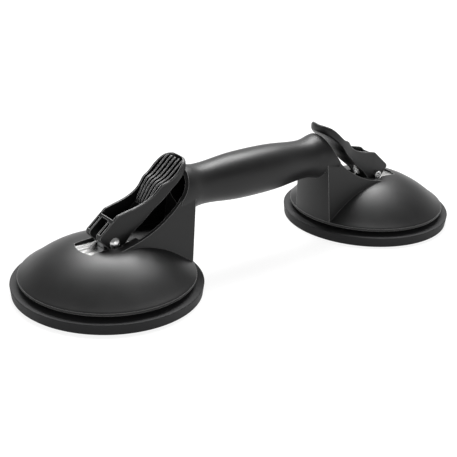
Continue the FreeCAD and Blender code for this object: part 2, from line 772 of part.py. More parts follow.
def finger_ribs():
    """Wavy ribs of the paddle: side outline and fanned plan strips."""
    top = [(x, z - 0.25) for x, z in along_lever(PADDLE_TOP[:-1])]
    web = float(S.lever_web) * 0.6
    floor = [(x, z + web) for x, z in along_lever(UNDERSIDE[:6])]
    foot, shoulder = along_lever([(-0.465, 0.354), (-0.458, 0.431)])
    side = [curve(top), line(top[-1], floor[0]), curve(floor), line(floor[-1], foot),
            line(foot, shoulder), line(shoulder, top[0])]
    count = int(float(S.finger_ribs))
    half = float(S.rib_wall) / 2
    wall = float(S.lever_wall) / 2
    heel = float(S.heel_half_width)
    widest = float(S.paddle_half_width)
    reach = float(S.lever_reach)
    strips = []
    for index in range(count):
        share = 2 * (index + 1) / (count + 1) - 1
        axis = [(place * reach, share * (heel + (widest - heel) * wide - wall))
                for place, wide in ((-0.43, 0.19), (-0.54, 0.31), (-0.67, 0.62), (-0.79, 0.84), (-0.99, 0.84))]
        near = [(x, y - half) for x, y in axis]
        far = [(x, y + half) for x, y in axis[::-1]]
        strips.append([curve(near), line(near[-1], far[0]), curve(far), line(far[-1], near[0])])
    return side, strips


def make_lever(name, side):
    low = S.heel_clearance - S.pin_height - 1
    high = lever_rise * 1.4
    width = S.paddle_half_width + 1
    reach = float(S.knee_reach) * 2
    blank = combine("MultiCommon", name + "_blank",
                    [side_prism(name + "_side", width, lever_outline()),
                     plan_prism(name + "_plan", low, high, [plan_outline(0, reach)]),
                     tip_limit(name + "_tip", 0)])
    trough = combine("MultiCommon", name + "_trough",
                     [side_prism(name + "_trough_side", width, lever_cavity()),
                      plan_prism(name + "_trough_plan", low, high, [plan_outline(S.lever_wall, reach)])])
    rib_side, rib_strips = finger_ribs()
    ribs = combine("MultiCommon", name + "_ribs",
                   [side_prism(name + "_rib_side", width, rib_side),
                    plan_prism(name + "_rib_plan", low, high, rib_strips),
                    plan_prism(name + "_rib_limit", low, high, [plan_outline(S.lever_wall / 2, reach)]),
                    tip_limit(name + "_rib_tip", 0.25)])
    shell = combine("MultiFuse", name + "_shell", [cut(name + "_hollow", blank, trough), ribs])

    back = -float(S.tongue_length / 2 + S.tongue_clearance + S.slot_side_clearance)
    foot = float(low) - 1
    wall = float(S.knee_reach - S.lever_wall * 2)
    slot = side_prism(name + "_slot", S.tongue_width / 2 + S.slot_side_clearance,
                      chain([(back, foot), (back, 0), face_frame(wall, -1.0), face_frame(wall, reach),
                             (reach * 1.4, reach / 2), (reach * 1.4, foot), (back, foot)]))
    hole = add_body(name + "_bore")
    ring = add_sketch(hole, name + "_bore_outline", "XZ_Plane", (0, 0, -width))
    circle(ring, S.pin_radius + S.pin_fit)
    extrude(hole, "Pad", name + "_bore_pad", ring, width * 2)
    tools = [slot, hole]
    inner = S.tongue_width / 2 + S.slot_side_clearance + S.slot_wall
    outer = S.heel_half_width - S.lever_wall
    depth = float(S.knee_reach - S.cell_depth)
    upper = float(S.knee_reach) * 0.58
    lower = -float(S.knee_reach) * 0.22
    corners = [face_frame(upper, depth), face_frame(upper, reach), face_frame(lower, reach),
               face_frame(lower, depth)]
    for mark, hand in (("near", -1), ("far", 1)):
        label = "%s_%s_cell" % (name, mark)
        cell = add_body(label)
        sketch = add_sketch(cell, label + "_outline", "XZ_Plane",
                            (0, 0, -(inner + outer) / 2 * hand - (outer - inner) / 2))
        outline(sketch, chain(corners + corners[:1]))
        extrude(cell, "Pad", label + "_pad", sketch, outer - inner)
        tools.append(cell)
    lever = cut(name, shell, combine("MultiFuse", name + "_openings", tools))
    place_at_cup(lever, side, pin_level)
    keep(name, lever)


# ------------------------------------------------------------------ build, check and write
make_moulding()
for word, sign in SIDES:
    make_pad("rubber_pad_" + word, sign)
    make_disc("stud_disc_" + word, sign)
    make_stud("pull_stud_" + word, sign)
    make_spring("return_spring_" + word, sign)
    make_seat("spring_seat_" + word, sign)
    make_plate("wear_plate_" + word, sign)
    make_pin("pivot_pin_" + word, sign)
    make_lever("cam_lever_" + word, sign)
doc.recompute()

for item in doc.Objects:
    if "Invalid" in item.State or "Error" in item.State:
        raise RuntimeError("%s did not rebuild: %s" % (item.Label, item.State))
os.makedirs("parts", exist_ok=True)
for name, item in nodes.items():
    shape = item.Shape
    if shape.isNull() or not shape.isValid():
        raise RuntimeError("%s has no valid shape" % name)
    if len(shape.Solids) != 1:
        raise RuntimeError("%s has %d solids" % (name, len(shape.Solids)))
    shape.exportStep("parts/%s.step" % name)
    box = shape.BoundBox
    print("%-22s %9.1f mm3  x %7.2f..%7.2f  y %6.2f..%6.2f  z %6.2f..%6.2f" % (
        name, shape.Volume, box.XMin, box.XMax, box.YMin, box.YMax, box.ZMin, box.ZMax))
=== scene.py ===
"""Looks of the double suction-cup lifter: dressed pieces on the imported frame, floor, light, camera.

Shapes are drawn in millimetres, +X toward the right cup and +Z up, and scaled to metres at the end.
The pieces at a cup are drawn about the cup's axis with +x pointing outward, away from the grip, and
the left ones are then turned half a turn about Z.
"""
import math

import bmesh
import bpy
import numpy as np
from mathutils import Matrix, Vector


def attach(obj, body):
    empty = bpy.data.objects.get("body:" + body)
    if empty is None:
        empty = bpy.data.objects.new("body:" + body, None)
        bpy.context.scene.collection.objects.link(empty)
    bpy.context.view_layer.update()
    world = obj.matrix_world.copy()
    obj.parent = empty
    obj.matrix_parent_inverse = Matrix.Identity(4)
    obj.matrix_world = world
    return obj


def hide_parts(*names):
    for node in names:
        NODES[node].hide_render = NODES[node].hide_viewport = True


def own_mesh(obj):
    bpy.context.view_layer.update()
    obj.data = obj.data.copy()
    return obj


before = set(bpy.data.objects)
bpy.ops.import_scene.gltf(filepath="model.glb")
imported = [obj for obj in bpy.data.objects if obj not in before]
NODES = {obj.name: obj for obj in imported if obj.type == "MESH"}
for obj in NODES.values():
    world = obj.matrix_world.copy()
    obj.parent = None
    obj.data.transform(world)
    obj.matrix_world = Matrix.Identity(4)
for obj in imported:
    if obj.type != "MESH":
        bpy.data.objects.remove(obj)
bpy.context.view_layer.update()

MM = 0.001
SIDES = (("left", -1), ("right", 1))

# ------------------------------------------------------------------ levels and places shared by the pieces (mm)
CUP_OFFSET = 110.7      # cup axis from the lifter's middle
PAD_TOP = 6.8
LIP_BOTTOM = 9.8
FLOOR_TOP = 28.7        # floor of the lever's channel
PIN_LEVEL = 34.2
POST_TOP = 55.5
GRIP_AXIS = 55.9
WALL = 2.4


# ------------------------------------------------------------------ mesh helpers
def spline(points, count):
    """Even samples of a natural cubic curve through the points."""
    points = np.asarray(points, float)
    chord = np.linalg.norm(np.diff(points, axis=0), axis=1)
    knots = np.concatenate([[0], np.cumsum(chord)])
    size = len(points)
    matrix = np.zeros((size, size))
    right = np.zeros_like(points)
    matrix[0, 0] = matrix[-1, -1] = 1
    for i in range(1, size - 1):
        before, after = chord[i - 1], chord[i]
        matrix[i, i - 1:i + 2] = before, 2 * (before + after), after
        right[i] = 6 * ((points[i + 1] - points[i]) / after - (points[i] - points[i - 1]) / before)
    bend = np.linalg.solve(matrix, right)
    result = []
    for t in np.linspace(0, knots[-1], count):
        i = min(np.searchsorted(knots, t, side="right") - 1, size - 2)
        step, a, b = chord[i], (knots[i + 1] - t) / chord[i], (t - knots[i]) / chord[i]
        value = (a * points[i] + b * points[i + 1]
                 + ((a ** 3 - a) * bend[i] + (b ** 3 - b) * bend[i + 1]) * step * step / 6)
        result.append(tuple(float(v) for v in value))
    return result


def arc(centre, radius, start, end, count):
    """Points on an arc, angles in degrees."""
    return [(centre[0] + radius * math.cos(math.radians(a)), centre[1] + radius * math.sin(math.radians(a)))
            for a in np.linspace(start, end, count)]


def make_mesh(name, vertices, faces):
    mesh = bpy.data.meshes.new(name)
    mesh.from_pydata([tuple(v) for v in vertices], [], faces)
    mesh.validate()
    bm = bmesh.new()
    bm.from_mesh(mesh)
    bmesh.ops.remove_doubles(bm, verts=bm.verts, dist=1e-5)
    bmesh.ops.recalc_face_normals(bm, faces=bm.faces)
    bm.to_mesh(mesh)
    bm.free()
    item = bpy.data.objects.new(name, mesh)
    bpy.context.scene.collection.objects.link(item)
    return item


def stack(name, rings):
    """A solid through rings of points; a ring of one point is a pole."""
    vertices, starts, faces = [], [], []
    for ring in rings:
        starts.append((len(vertices), len(ring)))
        vertices.extend(ring)
    for (a, count_a), (b, count_b) in zip(starts[:-1], starts[1:]):
        count = max(count_a, count_b)
        for i in range(count):
            j = (i + 1) % count
            if count_a == 1:
                faces.append((a, b + i, b + j))
            elif count_b == 1:
                faces.append((a + i, a + j, b))
            else:
                faces.append((a + i, a + j, b + j, b + i))
    for start, count in (starts[0], starts[-1]):
        if count > 2:
            faces.append(tuple(range(start, start + count)))
    return make_mesh(name, vertices, faces)


def revolve(name, profile, steps, axis="z", base=(0, 0, 0)):
    """A body of revolution about an axis through the base: profile of (radius, place along the axis)."""
    rings = []
    for radius, along in profile:
        if radius < 1e-6:
            ring = [(0, 0, along)]
        else:
            ring = [(radius * math.cos(t), radius * math.sin(t), along)
                    for t in np.linspace(0, 2 * math.pi, steps, endpoint=False)]
        if axis == "x":
            ring = [(z, x, y) for x, y, z in ring]
        if axis == "y":
            ring = [(y, z, x) for x, y, z in ring]
        rings.append([(x + base[0], y + base[1], z + base[2]) for x, y, z in ring])
    return stack(name, rings)


def prism(name, loop, low, high, plane="xy"):
    """A straight prism over a closed outline in the xy or xz plane."""
    if plane == "xy":
        rings = [[(x, y, h) for x, y in loop] for h in (low, high)]
    else:
        rings = [[(x, h, z) for x, z in loop] for h in (low, high)]
    return stack(name, rings)


def merge(item, tool, how):
    """Boolean of two solids; the tool is used up."""
    step = item.modifiers.new("merge", "BOOLEAN")
    step.operation = how
    step.solver = "EXACT"
    step.object = tool
    graph = bpy.context.evaluated_depsgraph_get()
    mesh = bpy.data.meshes.new_from_object(item.evaluated_get(graph))
    item.modifiers.clear()
    item.data = mesh
    bpy.data.objects.remove(tool)


def join(item, others):
    """Adds the others' meshes to the first, without cutting."""
    bm = bmesh.new()
    bm.from_mesh(item.data)
    for other in others:
        bm.from_mesh(other.data)
        bpy.data.objects.remove(other)
    bm.to_mesh(item.data)
    bm.free()


def settle(item, side, height=0.0):
    """Turns a piece drawn about its own cup axis to its side, lifts it and scales it to metres."""
    turn = Matrix.Rotation(0.0 if side > 0 else math.pi, 4, "Z")
    shift = Matrix.Translation((side * CUP_OFFSET * MM, 0, height * MM))
    item.data.transform(shift @ turn @ Matrix.Scale(MM, 4))


def paint(item, material):
    item.data.materials.clear()
    item.data.materials.append(material)


def finish_piece(item, body, material, node, sharp_angle):
    """Shades a dressed piece and hands it to the frame in place of its CAD node."""
    item.data.shade_smooth()
    item.data.set_sharp_from_angle(angle=math.radians(sharp_angle))
    paint(item, material)
    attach(item, body)
    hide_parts(node)


# ------------------------------------------------------------------ materials
class Shader:
    """Wires a procedural material around one Principled BSDF."""

    def __init__(self, name, colour, roughness, metallic=0.0, specular=0.5):
        self.material = bpy.data.materials.new(name)
        self.material.use_nodes = True
        self.tree = self.material.node_tree
        self.surface = self.tree.nodes["Principled BSDF"]
        self.surface.inputs["Base Color"].default_value = (*colour, 1)
        self.surface.inputs["Roughness"].default_value = roughness
        self.surface.inputs["Metallic"].default_value = metallic
        self.surface.inputs["Specular IOR Level"].default_value = specular
        self.place = self.tree.nodes.new("ShaderNodeTexCoord").outputs["Object"]
        self.normal = None

    def noise(self, scale, detail, stretch=None):
        source = self.place
        if stretch:
            mapping = self.tree.nodes.new("ShaderNodeMapping")
            mapping.inputs["Scale"].default_value = stretch
            self.tree.links.new(source, mapping.inputs["Vector"])
            source = mapping.outputs["Vector"]
        node = self.tree.nodes.new("ShaderNodeTexNoise")
        node.inputs["Scale"].default_value = scale
        node.inputs["Detail"].default_value = detail
        self.tree.links.new(source, node.inputs["Vector"])
        return node.outputs["Fac"]

    def ramp(self, value, low, high, start=0.3, end=0.7):
        """Low to high while the value goes from start to end."""
        node = self.tree.nodes.new("ShaderNodeMapRange")
        node.inputs["From Min"].default_value = start
        node.inputs["From Max"].default_value = end
        node.inputs["To Min"].default_value = low
        node.inputs["To Max"].default_value = high
        self.tree.links.new(value, node.inputs["Value"])
        return node.outputs["Result"]

    def roughness(self, value):
        self.tree.links.new(value, self.surface.inputs["Roughness"])

    def colour(self, value, dark, light):
        """Base colour from dark to light, by a value from 0 to 1."""
        node = self.tree.nodes.new("ShaderNodeMix")
        node.data_type = "RGBA"
        node.inputs["A"].default_value = (*dark, 1)
        node.inputs["B"].default_value = (*light, 1)
        self.tree.links.new(value, node.inputs["Factor"])
        self.tree.links.new(node.outputs["Result"], self.surface.inputs["Base Color"])

    def paint_highlight(self, mask, colour):
        """Mixes a painted highlight colour over the base colour where the mask is 1."""
        node = self.tree.nodes.new("ShaderNodeMix")
        node.data_type = "RGBA"
        self.tree.links.new(self.surface.inputs["Base Color"].links[0].from_socket, node.inputs["A"])
        node.inputs["B"].default_value = (*colour, 1)
        self.tree.links.new(mask, node.inputs["Factor"])
        self.tree.links.new(node.outputs["Result"], self.surface.inputs["Base Color"])

    def round_edges(self, radius):
        """Bends the normal across edges, as a moulded or broken edge would."""
        node = self.tree.nodes.new("ShaderNodeBevel")
        node.samples = 6
        node.inputs["Radius"].default_value = radius
        self.normal = node.outputs["Normal"]
        self.tree.links.new(self.normal, self.surface.inputs["Normal"])

    def edges(self, radius):
        """1 along the outer edges, 0 on the flats and in the inner corners; after round_edges. It places the painted
        edge highlight.
        """
        shape = self.tree.nodes.new("ShaderNodeNewGeometry")
        turn = self.tree.nodes.new("ShaderNodeVectorMath")
        turn.operation = "DOT_PRODUCT"
        self.tree.links.new(self.normal, turn.inputs[0])
        self.tree.links.new(shape.outputs["Normal"], turn.inputs[1])
        open_air = self.tree.nodes.new("ShaderNodeAmbientOcclusion")
        open_air.samples = 4
        open_air.only_local = True
        open_air.inputs["Distance"].default_value = radius * 1.5
        mask = self.tree.nodes.new("ShaderNodeMath")
        mask.operation = "MULTIPLY"
        self.tree.links.new(self.ramp(turn.outputs["Value"], 1, 0, 0.95, 0.999), mask.inputs[0])
        self.tree.links.new(self.ramp(open_air.outputs["AO"], 0, 1, 0.7, 0.95), mask.inputs[1])
        return mask.outputs[0]

    def bump(self, value, depth, strength):
        """Surface grain over the rounded edges."""
        node = self.tree.nodes.new("ShaderNodeBump")
        node.inputs["Distance"].default_value = depth
        node.inputs["Strength"].default_value = strength
        self.tree.links.new(value, node.inputs["Height"])
        self.tree.links.new(self.normal, node.inputs["Normal"])
        self.normal = node.outputs["Normal"]
        self.tree.links.new(self.normal, self.surface.inputs["Normal"])


def moulded_plastic(name, dark, light, smooth, rough, edge, edge_highlight_colour):
    shader = Shader(name, dark, smooth, specular=0.36)
    cloud = shader.noise(scale=38, detail=4)
    shader.colour(shader.ramp(cloud, 0, 1), dark, light)
    shader.roughness(shader.ramp(cloud, smooth, rough))
    shader.round_edges(edge)
    # a lighter colour along the outer edges: a painted highlight standing in for the glints on the rounded edges
    shader.paint_highlight(shader.edges(edge), edge_highlight_colour)
    shader.bump(shader.noise(scale=1500, detail=2), depth=0.00002, strength=0.5)
    return shader.material


def moulded_rubber(name, dark, light, smooth, rough):
    shader = Shader(name, dark, (smooth + rough) / 2, specular=0.2)
    cloud = shader.noise(scale=30, detail=4)
    shader.colour(shader.ramp(cloud, 0, 1), dark, light)
    shader.roughness(shader.ramp(cloud, smooth, rough))
    shader.round_edges(0.0004)
    shader.bump(shader.noise(scale=900, detail=3), depth=0.00004, strength=0.6)
    return shader.material


def steel(name, colour, smooth, rough, stretch):
    """Bare or plated metal with fine streaks, drawn out along the axis of the smallest stretch."""
    shader = Shader(name, colour, smooth, metallic=1.0)
    streaks = shader.noise(scale=500, detail=3, stretch=stretch)
    shader.colour(shader.ramp(streaks, 0, 1), tuple(c * 0.85 for c in colour), colour)
    shader.roughness(shader.ramp(streaks, smooth, rough))
    shader.round_edges(0.0003)
    shader.bump(streaks, depth=0.000015, strength=0.4)
    return shader.material


# the last colour of each plastic is a painted highlight along its outer edges
body_plastic = moulded_plastic("body_plastic", dark=(0.007, 0.007, 0.0072), light=(0.011, 0.011, 0.0112),
                               smooth=0.38, rough=0.46, edge=0.0005, edge_highlight_colour=(0.3, 0.3, 0.3))
lever_plastic = moulded_plastic("lever_plastic", dark=(0.005, 0.005, 0.0052), light=(0.008, 0.008, 0.0082),
                                smooth=0.36, rough=0.44, edge=0.0007, edge_highlight_colour=(0.4, 0.4, 0.4))
pad_rubber = moulded_rubber("pad_rubber", dark=(0.018, 0.018, 0.019), light=(0.027, 0.027, 0.028),
                            smooth=0.52, rough=0.68)
plate_steel = steel("plate_steel", (0.78, 0.78, 0.77), 0.22, 0.34, (0.15, 1, 1))
pin_steel = steel("pin_steel", (0.76, 0.76, 0.76), 0.2, 0.32, (1, 0.2, 1))
zinc_steel = steel("zinc_steel", (0.66, 0.67, 0.68), 0.3, 0.42, (1, 1, 0.3))
spring_steel = steel("spring_steel", (0.5, 0.5, 0.51), 0.3, 0.42, (1, 1, 1))

# ------------------------------------------------------------------ moulding: grip, posts and domes
# (radius, height) about the cup axis
DOME = ((0, 32.3), (10, 32.15), (20, 31.1), (27.5, 28.9), (34, 26.0), (41, 22.0), (47.5, 17.4), (53, 13.3))
LIP = ((55.0, 11.95), (55.3, 11.6), (55.3, 10.1), (55.0, LIP_BOTTOM))
HOLLOW_TOP, HOLLOW_BOTTOM = 26.3, 8
HOLLOW = ((26.5, HOLLOW_TOP), (32, 22.8), (38, 19.4), (44, 15.4), (50, 12.0), (52.9, 10.6))
# (distance from the lifter's middle, radius) about the grip's axis
GRIP = ((0, 15.75), (20.5, 15.1), (41, 13.3), (49.5, 13.9), (54.3, 15.1), (58, 15.7), (66.5, 16.2))
GRIP_LENGTH = 66
BORE = ((1.5, 0), (1.5, 9.2), (41, 10.0), (60, 12.7), (68, 12.7), (68, 0))
# (x, z) of the cut that opens the grip's mouth and clears the lever, from the mouth down to the dome
OPENING = ((-54.6, 76.0), (-50.4, 64.0), (-44.0, 54.0), (-34.0, 45.2), (-23.0, 38.7), (-12.0, 34.5), (4.0, 30.9))
OPENING_END, OPENING_TOP = 60, 110
# half width and inner wall radius of a post, at the dome's lip and at the grip
POST_HALF = (17.9, 15.1)
POST_RADIUS = (55.1, 57.2)
POST_FRONT = 2.0
POCKETS = ((HOLLOW_BOTTOM, HOLLOW_TOP, -30), (FLOOR_TOP, POST_TOP, -14))    # low, high, front
CHANNEL_HALF, CHANNEL_REACH, CHANNEL_BACK, CHANNEL_TOP = 10.0, 20, -16, 40
RELIEF_RADIUS, RELIEF_HALF = 4.3, 11.7                                      # room for the pin's ends
STUD_SLOT = ((-5.4, -3.9), (5.4, -3.9), (5.4, 3.9), (-5.4, 3.9))
SEAM = 1e-3


def post_ring(height, inset, front):
    """Plan of the post at a height: round inner wall, flat sides, straight front."""
    share = (height - LIP_BOTTOM) / (POST_TOP - LIP_BOTTOM)
    half = POST_HALF[0] * (1 - share) + POST_HALF[1] * share - inset
    radius = POST_RADIUS[0] * (1 - share) + POST_RADIUS[1] * share - inset
    reach = math.degrees(math.asin(half / radius))
    ring = arc((0, 0), radius, 180 - reach, 180 + reach, 33) + [(front, -half), (front, half)]
    return [(x, y, height) for x, y in ring]


def make_post(name, low, high, inset, front, count):
    return stack(name, [post_ring(h, inset, front) for h in np.linspace(low, high, count)])


def about_grip(name, profile, steps):
    """A body of revolution about the grip's axis, seen from the cup; profile of (x, radius)."""
    return revolve(name, [(radius, x) for x, radius in profile], steps, axis="x",
                   base=(-CUP_OFFSET, 0, GRIP_AXIS))


def make_dome():
    slope = spline(DOME + LIP[:1], 60)
    return revolve("dome", [(0, LIP_BOTTOM), *LIP[::-1], *slope[-2::-1]], 192)


def make_end():
    """Half of the moulding: half the grip, a post and a dome, about the cup axis."""
    half = about_grip("moulding", [(0, 0)] + spline(GRIP, 60) + [(GRIP_LENGTH, 0)], 128)
    merge(half, make_post("post", LIP_BOTTOM, POST_TOP, 0, POST_FRONT, 14), "UNION")
    above = [(OPENING_END, OPENING[-1][1]), (OPENING_END, OPENING_TOP), (OPENING[0][0], OPENING_TOP)]
    merge(half, prism("opening", spline(OPENING, 60) + above, -40, 40, "xz"), "DIFFERENCE")
    merge(half, make_dome(), "UNION")
    inside = [(0, HOLLOW_TOP)] + spline(HOLLOW, 24) + [(HOLLOW[-1][0], HOLLOW_BOTTOM), (0, HOLLOW_BOTTOM)]
    merge(half, revolve("hollow", inside, 144), "DIFFERENCE")
    for low, high, front in POCKETS:
        merge(half, make_post("pocket", low, high, WALL, front, 6), "DIFFERENCE")
    merge(half, about_grip("bore", BORE, 96), "DIFFERENCE")
    shoulder = math.degrees(math.asin(CHANNEL_HALF / CHANNEL_REACH))
    channel = (arc((0, 0), CHANNEL_REACH, -shoulder, shoulder, 25)
               + [(CHANNEL_BACK, CHANNEL_HALF), (CHANNEL_BACK, -CHANNEL_HALF)])
    merge(half, prism("channel", channel, FLOOR_TOP, CHANNEL_TOP), "DIFFERENCE")
    relief = [(0, -RELIEF_HALF), (RELIEF_RADIUS, -RELIEF_HALF), (RELIEF_RADIUS, RELIEF_HALF), (0, RELIEF_HALF)]
    merge(half, revolve("relief", relief, 48, axis="y", base=(0, 0, PIN_LEVEL)), "DIFFERENCE")
    merge(half, prism("stud_slot", STUD_SLOT, 24, 34), "DIFFERENCE")
    return half


def make_moulding():
    """Mirrors the end about the lifter's middle and sews the two halves of the grip together."""
    moulding = make_end()
    moulding.data.transform(Matrix.Translation((CUP_OFFSET, 0, 0)))
    bm = bmesh.new()
    bm.from_mesh(moulding.data)
    caps = [f for f in bm.faces if all(abs(v.co.x) < SEAM for v in f.verts)]
    bmesh.ops.delete(bm, geom=caps, context="FACES")
    other = bm.copy()
    bmesh.ops.scale(other, vec=(-1, 1, 1), verts=other.verts)
    bmesh.ops.reverse_faces(other, faces=other.faces)
    spare = bpy.data.meshes.new("spare")
    other.to_mesh(spare)
    other.free()
    bm.from_mesh(spare)
    bpy.data.meshes.remove(spare)
    seam = [v for v in bm.verts if abs(v.co.x) < SEAM]
    bmesh.ops.remove_doubles(bm, verts=seam, dist=SEAM)
    bm.to_mesh(moulding.data)
    bm.free()
    moulding.data.transform(Matrix.Scale(MM, 4))
    finish_piece(moulding, "body", body_plastic, "body_moulding", 28)


# ------------------------------------------------------------------ rubber pads, (radius, height)
PAD_SOLE = ((0, 0.8), (30, 0.8), (32, 0))
PAD_EDGE = ((58.9, 0), (59.2, 0.25), (59.95, 6.5), (59.7, PAD_TOP))
PAD_UPPER = ((46.5, PAD_TOP), (46, PAD_TOP), (27, PAD_TOP), (25, 9.8), (0, 9.8))
GROOVES = (50.2, 54.2)
GROOVE_WIDTH, GROOVE_DEPTH = 1.2, 0.7


def make_pad(word, side):
    grooves = []
    for outer in GROOVES:
        inner = outer - GROOVE_WIDTH
        grooves += [(inner, 0), (inner, GROOVE_DEPTH), (outer, GROOVE_DEPTH), (outer, 0)]
    pad = revolve("rubber_pad_%s_dressed" % word, [*PAD_SOLE, *grooves, *PAD_EDGE, *PAD_UPPER], 192)
    settle(pad, side)
    finish_piece(pad, "body", pad_rubber, "rubber_pad_" + word, 30)


# ------------------------------------------------------------------ return springs (squeezed in use as the stud rises; drawn here at one length)
DISC_TOP, SEAT_BOTTOM, SPRING_GAP = 11.8, 25.3, 0.1
SPRING_TURNS, SPRING_RADIUS, WIRE_RADIUS = 3.0, 9.0, 0.6


def make_spring(word, side):
    low, high = DISC_TOP + SPRING_GAP + WIRE_RADIUS, SEAT_BOTTOM - SPRING_GAP - WIRE_RADIUS
    rings = []
    for share in np.linspace(0, 1, 145):
        angle = share * SPRING_TURNS * 2 * math.pi
        section = arc((SPRING_RADIUS, low + (high - low) * share), WIRE_RADIUS, 0, 324, 10)
        rings.append([(r * math.cos(angle), r * math.sin(angle), z) for r, z in section])
    spring = stack("return_spring_%s_dressed" % word, rings)
    settle(spring, side)
    finish_piece(spring, "body", spring_steel, "return_spring_" + word, 60)
    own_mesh(spring)


# ------------------------------------------------------------------ levers, drawn about the pin's axis
REACH, HEEL_HALF = 53.7, 8.3
# (x, z) of the paddle's top and of the lever's underside, and (x, y) of the edge seen from above
LEVER_TOP = ((-2.6, 16.8), (-9.0, 18.3), (-17.0, 20.2), (-24.0, 23.1), (-29.0, 26.9), (-33.0, 31.3),
             (-36.0, 32.6), (-40.0, 35.2), (-44.0, 38.8), (-47.0, 41.6), (-49.5, 43.4), (-51.8, 44.3))
UNDERSIDE = ((-52.4, 38.5), (-50.0, 37.2), (-46.0, 34.2), (-42.0, 31.1), (-38.0, 27.1), (-34.0, 22.4),
             (-27.0, 15.9), (-20.0, 9.3), (-12.0, 2.8), (-7.6, -2.4))
PLAN = ((-5.6, HEEL_HALF), (-17.0, 8.9), (-29.0, 10.1), (-36.0, 11.8), (-41.5, 12.9), (-45.5, 12.7),
        (-49.3, 10.9), (-52.3, 7.0), (-REACH, 0.0))
PLAN_COUNT = 141
TIP = (LEVER_TOP[-1], (-53.3, 43.2), (-REACH, 41.4), (-53.4, 39.8), UNDERSIDE[0])
# the heel: knee face and end face, each at an angle and a distance from the pin, a nose and a flat sole
KNEE_ANGLE, END_ANGLE = 49.0, -43.0
KNEE_REACH, END_REACH, NOSE = 11.0, 5.25, 3.0
SOLE, SOLE_BACK = -4.2, -6.0
# corner radii of the sections, at the tip and from the finger ribs on
CORNER_PLACES = (-52, -42)
UPPER_CORNERS, LOWER_CORNERS = (3.2, 0.7), (2.4, 0.7)
TIP_LEAD, HEEL_LEAD, SECTION_STEP = 4.0, 3.2, 0.8
# the trough between the ribs and the knee, open at the top
TROUGH_FLOOR, TROUGH_WALL = 2.7, 1.7
# the slot for the stud's tongue and the two cells beside it in the knee face
SLOT_HALF, SLOT_BACK, SLOT_BOTTOM, SLOT_KNEE = 3.8, -5.7, -6.2, 7.6
CELL_SIDES, CELL_WIDTH, CELL_FLOOR = (-7.0, 5.0), 2.0, 3.5
CELL_LOW, CELL_HIGH = -2.6, 6.6
RIB_COUNT, RIB_HALF, RIB_DROP, RIB_SINK = 5, 0.6, 0.25, 1.2
RIB_SPREAD = ((-23, 9.2), (-29, 9.8), (-36, 11.3), (-42.5, 12.3), (-53, 12.3))
RIB_END = ((-25.0, 15.7), (-24.6, 19.1))
RIB_INSET = 0.85
PAST_HEEL, PAST_TOP, PAST_BOTTOM = 22, 62, -8       # where the cutting tools end, clear of the lever


def face_frame(along, out):
    """A place along the knee face (toward the knee) and outward from the pin."""
    angle = math.radians(KNEE_ANGLE)
    return (out * math.cos(angle) - along * math.sin(angle), out * math.sin(angle) + along * math.cos(angle))


def nose_points():
    """The round nose between the knee face and the end face."""
    upper, lower = math.radians(KNEE_ANGLE), math.radians(END_ANGLE)
    high, low = KNEE_REACH - NOSE, END_REACH - NOSE
    spread = math.sin(upper - lower)
    centre = ((low * math.sin(upper) - high * math.sin(lower)) / spread,
              (high * math.cos(lower) - low * math.cos(upper)) / spread)
    return arc(centre, NOSE, KNEE_ANGLE, END_ANGLE, 14)


def lever_outline():
    lower = math.radians(END_ANGLE)
    toe = ((END_REACH - SOLE * math.sin(lower)) / math.cos(lower), SOLE)
    tip = spline(TIP, 12)
    return (nose_points() + [toe, (SOLE_BACK, SOLE)] + spline(UNDERSIDE, 50)[::-1]
            + tip[::-1][1:-1] + spline(LEVER_TOP, 70)[::-1])


def plan_outline(inset):
    """The lever seen from above, drawn in by an inset, and run on past the heel."""
    near = [(x + (inset * 0.8 if x < -45 else 0), y - inset) for x, y in PLAN]
    near[-1] = (inset - REACH, 0.0)
    loop = spline(near + [(x, -y) for x, y in near[-2::-1]], PLAN_COUNT)
    return loop + [(PAST_HEEL, -near[0][1]), (PAST_HEEL, near[0][1])]


def span_at(loop, x):
    """Lowest and highest point of a closed outline at a place."""
    heights = []
    for (x0, z0), (x1, z1) in zip(loop[:-1], loop[1:]):
        if (x0 - x) * (x1 - x) <= 0 and x0 != x1:
            heights.append(z0 + (z1 - z0) * (x - x0) / (x1 - x0))
    return min(heights), max(heights)


def rounded_bar(name, outline, widths, grow=0.0, drop=0.0):
    """A bar through the outline's height at each x, with rounded corners that open up at the tip.

    grow takes material off the sides, drop off the top.
    """
    loop = np.array(outline + outline[:1])
    low, high = loop[:, 0].min(), loop[:, 0].max()
    lead = 1 - np.cos(np.linspace(0.06, 1, 14) * math.pi / 2)
    middle = np.arange(low + TIP_LEAD + SECTION_STEP, high - HEEL_LEAD - SECTION_STEP / 2, SECTION_STEP)
    places, halves = zip(*sorted(widths))
    rings = []
    for x in np.concatenate([low + lead * TIP_LEAD, middle, high - lead[::-1] * HEEL_LEAD]):
        floor, roof = span_at(loop, x)
        roof -= drop
        half = float(np.interp(x, places, halves)) - grow
        room = min(half, (roof - floor) / 2) * 0.98
        upper = min(room, float(np.interp(x, CORNER_PLACES, UPPER_CORNERS)))
        lower = min(room, float(np.interp(x, CORNER_PLACES, LOWER_CORNERS)))
        corners = ((half - upper, roof - upper, upper, 0), (upper - half, roof - upper, upper, 90),
                   (lower - half, floor + lower, lower, 180), (half - lower, floor + lower, lower, 270))
        rings.append([(x, y, z) for cy, cz, radius, start in corners
                      for y, z in arc((cy, cz), radius, start, start + 90, 6)])
    return stack(name, rings)


def make_trough():
    floor = spline([(x, z + TROUGH_FLOOR) for x, z in UNDERSIDE[1:-1]], 40)
    knee = KNEE_REACH - TROUGH_WALL
    past_tip = -REACH - 2
    outline = floor + [face_frame(knee, -3.0), face_frame(knee, 16.8), (past_tip, PAST_TOP), (past_tip, floor[0][1])]
    trough = prism("trough", outline, -15, 15, "xz")
    merge(trough, prism("trough_plan", plan_outline(TROUGH_WALL), PAST_BOTTOM, PAST_TOP), "INTERSECT")
    return trough


